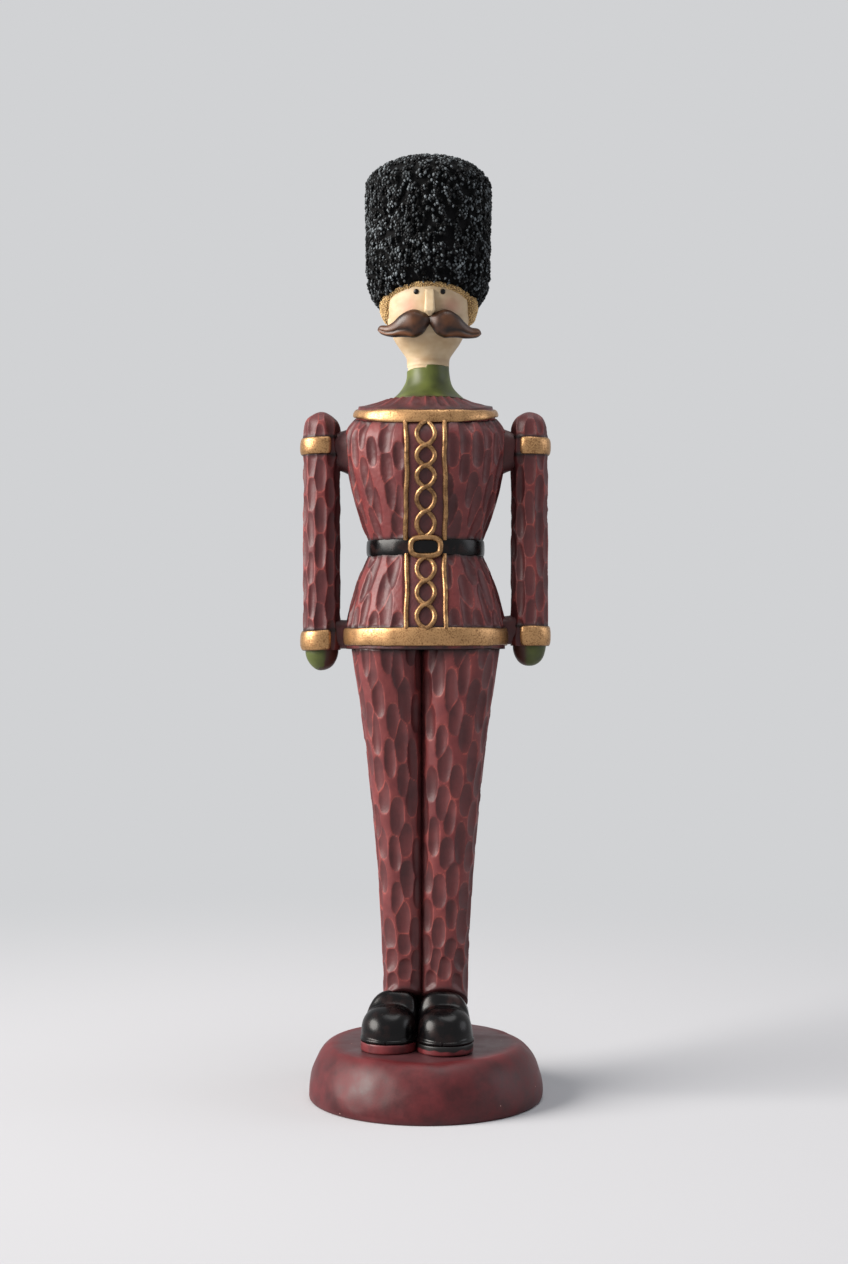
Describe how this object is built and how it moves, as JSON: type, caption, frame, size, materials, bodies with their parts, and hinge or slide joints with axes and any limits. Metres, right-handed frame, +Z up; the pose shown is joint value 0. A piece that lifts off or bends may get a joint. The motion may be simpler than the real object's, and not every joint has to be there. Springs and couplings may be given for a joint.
{
  "type": "toy soldier figure",
  "caption": "Standing parade soldier figure with a tall fur hat, long carved-look coat, gold bands and braid, arms at the sides, on a round plinth.",
  "frame": {"origin": "centre of the plinth's underside, on the surface that the figure stands on", "axes": "+Z up the figure, -Y the way that the soldier faces, +X towards the soldier's own left"},
  "size_m": [0.0952, 0.089, 0.3565],
  "materials": {
    "red_lacquer": "satin lacquer over a carved-look casting, dark in the cuts and rubbed bright on the ridges",
    "plinth_red": "satin mottled lacquer, smooth",
    "antique_gold": "antique gold paint, speckled, low sheen",
    "black_gloss": "gloss black lacquer with a little brown rub-through",
    "fur_black": "black curled-fur casting, dry-brushed grey",
    "cream_face": "satin cream paint with blushed cheeks",
    "eye_black": "gloss black dots",
    "moustache_brown": "satin dark brown, red-brown at the edges",
    "hair_tan": "satin tan paint",
    "olive_green": "gloss olive paint with an uneven edge",
    "sole_red": "satin red paint",
    "felt_green": "pressed felt",
    "dowel_steel": "plain drawn steel"
  },
  "bodies": {
    "root": {"base": "plinth_red", "felt_pad": "felt_green", "left_sole": "sole_red", "right_sole": "sole_red", "left_shoe": "black_gloss", "right_shoe": "black_gloss", "left_leg": "red_lacquer", "right_leg": "red_lacquer", "coat_skirt": "red_lacquer", "coat_body": "red_lacquer", "shoulder_yoke": "red_lacquer", "hem_band": "antique_gold", "yoke_band": "antique_gold", "belt": "black_gloss", "buckle": "antique_gold", "upper_braid": "antique_gold", "lower_braid": "antique_gold", "left_upper_cord": "antique_gold", "right_upper_cord": "antique_gold", "left_lower_cord": "antique_gold", "right_lower_cord": "antique_gold", "collar": "olive_green", "head": "cream_face", "nose": "cream_face", "eyes": "eye_black", "left_moustache": "moustache_brown", "right_moustache": "moustache_brown", "hair": "hair_tan", "bearskin_hat": "fur_black", "left_arm": "red_lacquer", "right_arm": "red_lacquer", "left_armband": "antique_gold", "right_armband": "antique_gold", "left_cuff": "antique_gold", "right_cuff": "antique_gold", "left_hand": "olive_green", "right_hand": "olive_green", "waist_dowel": "dowel_steel", "neck_dowel": "dowel_steel", "hat_dowel": "dowel_steel", "left_shoulder_dowel": "dowel_steel", "right_shoulder_dowel": "dowel_steel", "left_hip_dowel": "dowel_steel", "right_hip_dowel": "dowel_steel", "left_ankle_rod": "dowel_steel", "right_ankle_rod": "dowel_steel"}
  },
  "joints": []
}
